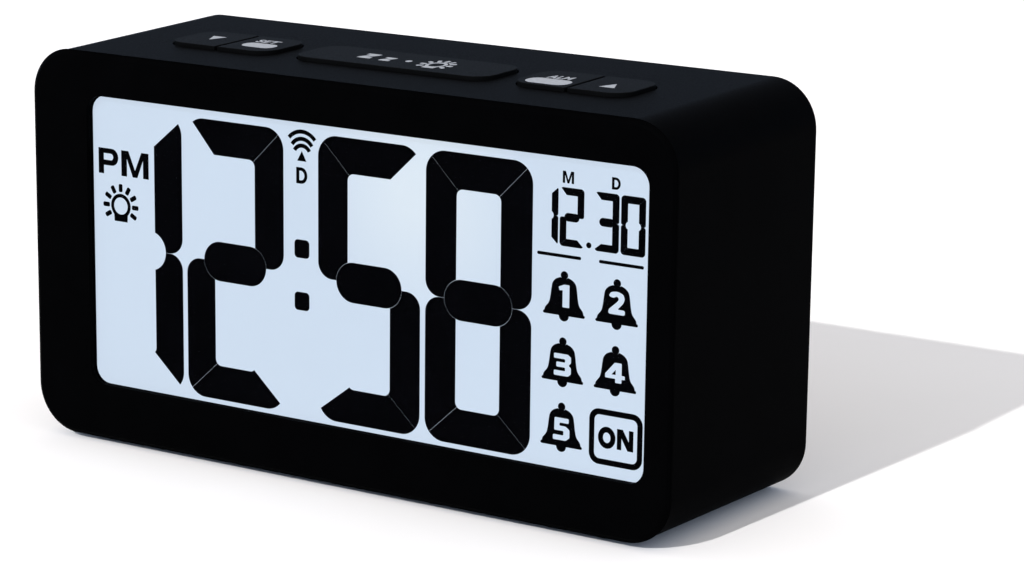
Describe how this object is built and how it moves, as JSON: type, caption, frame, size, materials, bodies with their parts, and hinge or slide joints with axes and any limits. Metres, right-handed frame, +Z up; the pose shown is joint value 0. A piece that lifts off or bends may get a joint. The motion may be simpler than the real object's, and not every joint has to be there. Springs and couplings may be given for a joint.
{
  "type": "radio-controlled alarm clock",
  "caption": "Rectangular desk alarm clock with a wide lit display window, press keys along the top and a battery bay behind a swing-out door in the rear cover.",
  "frame": {"origin": "centre of the clock's outline on the table under its feet", "axes": "+X to the right seen from the front, +Y from the front to the rear, +Z up"},
  "size_m": [0.152, 0.052, 0.082],
  "materials": {
    "case_black": "fine satin moulded black",
    "clear_lens": "clear polished acrylic",
    "polariser_film": "grey film",
    "display_glass": "lit pale blue display",
    "clear_guide": "clear acrylic with a printed back",
    "white_plastic": "white moulded plastic",
    "led_resin": "pale resin",
    "zebra_rubber": "striped silicone",
    "board_green": "green solder mask",
    "board_blue": "blue solder mask",
    "black_resin": "black resin",
    "nickel": "nickel plate",
    "capacitor_sleeve": "dark blue sleeve",
    "key_silicone": "grey silicone",
    "key_black": "satin black",
    "ferrite": "dull dark grey",
    "copper": "enamelled copper wire",
    "wire_black": "black insulation",
    "wire_red": "red insulation",
    "cell_jacket": "plain printed jacket",
    "screw_steel": "zinc plated",
    "foot_rubber": "matte black rubber"
  },
  "bodies": {
    "clock": {"case_shell": "case_black", "rear_cover": "case_black", "front_lens": "clear_lens", "polarisers": "polariser_film", "lcd_panel": "display_glass", "light_guide": "clear_guide", "reflector_sheet": "white_plastic", "lcd_frame": "white_plastic", "connectors": "white_plastic", "key_ribbon": "white_plastic", "backlight_leds": "led_resin", "zebra_strip": "zebra_rubber", "main_board": "board_green", "key_board": "board_green", "receiver_module": "board_blue", "controller_blob": "black_resin", "buzzer": "black_resin", "crystal_cans": "nickel", "spring_contacts": "nickel", "flat_contacts": "nickel", "capacitors": "capacitor_sleeve", "key_mat": "key_silicone", "ferrite_rod": "ferrite", "aerial_coil": "copper", "aerial_leads": "copper", "buzzer_leads": "wire_black", "battery_lead_black": "wire_black", "battery_lead_red": "wire_red", "aa_cells": "cell_jacket", "frame_screws": "screw_steel", "board_screws": "screw_steel", "key_board_screws": "screw_steel", "cover_screws": "screw_steel", "rubber_feet": "foot_rubber"},
    "down_key": {"key_down": "key_black"},
    "set_key": {"key_set": "key_black"},
    "snooze_key": {"key_snooze": "key_black"},
    "alarm_key": {"key_alarm": "key_black"},
    "up_key": {"key_up": "key_black"},
    "door": {"battery_door": "case_black"}
  },
  "joints": [
    {"name": "down_key_press", "type": "slide", "parent": "clock", "child": "down_key", "axis": [0, 0, -1], "range_m": [0, 0.0008], "stiffness_N_per_m": 600, "springref_m": -0.0005, "deforming": ["key_mat"]},
    {"name": "set_key_press", "type": "slide", "parent": "clock", "child": "set_key", "axis": [0, 0, -1], "range_m": [0, 0.0008], "stiffness_N_per_m": 600, "springref_m": -0.0005, "deforming": ["key_mat"]},
    {"name": "snooze_key_press", "type": "slide", "parent": "clock", "child": "snooze_key", "axis": [0, 0, -1], "range_m": [0, 0.0008], "stiffness_N_per_m": 900, "springref_m": -0.0005, "deforming": ["key_mat"]},
    {"name": "alarm_key_press", "type": "slide", "parent": "clock", "child": "alarm_key", "axis": [0, 0, -1], "range_m": [0, 0.0008], "stiffness_N_per_m": 600, "springref_m": -0.0005, "deforming": ["key_mat"]},
    {"name": "up_key_press", "type": "slide", "parent": "clock", "child": "up_key", "axis": [0, 0, -1], "range_m": [0, 0.0008], "stiffness_N_per_m": 600, "springref_m": -0.0005, "deforming": ["key_mat"]},
    {"name": "door_swing", "type": "hinge", "parent": "clock", "child": "door", "pos_m": [-0.014, 0.0246, 0.0085], "axis": [-1, 0, 0], "range_deg": [0, 85]}
  ]
}
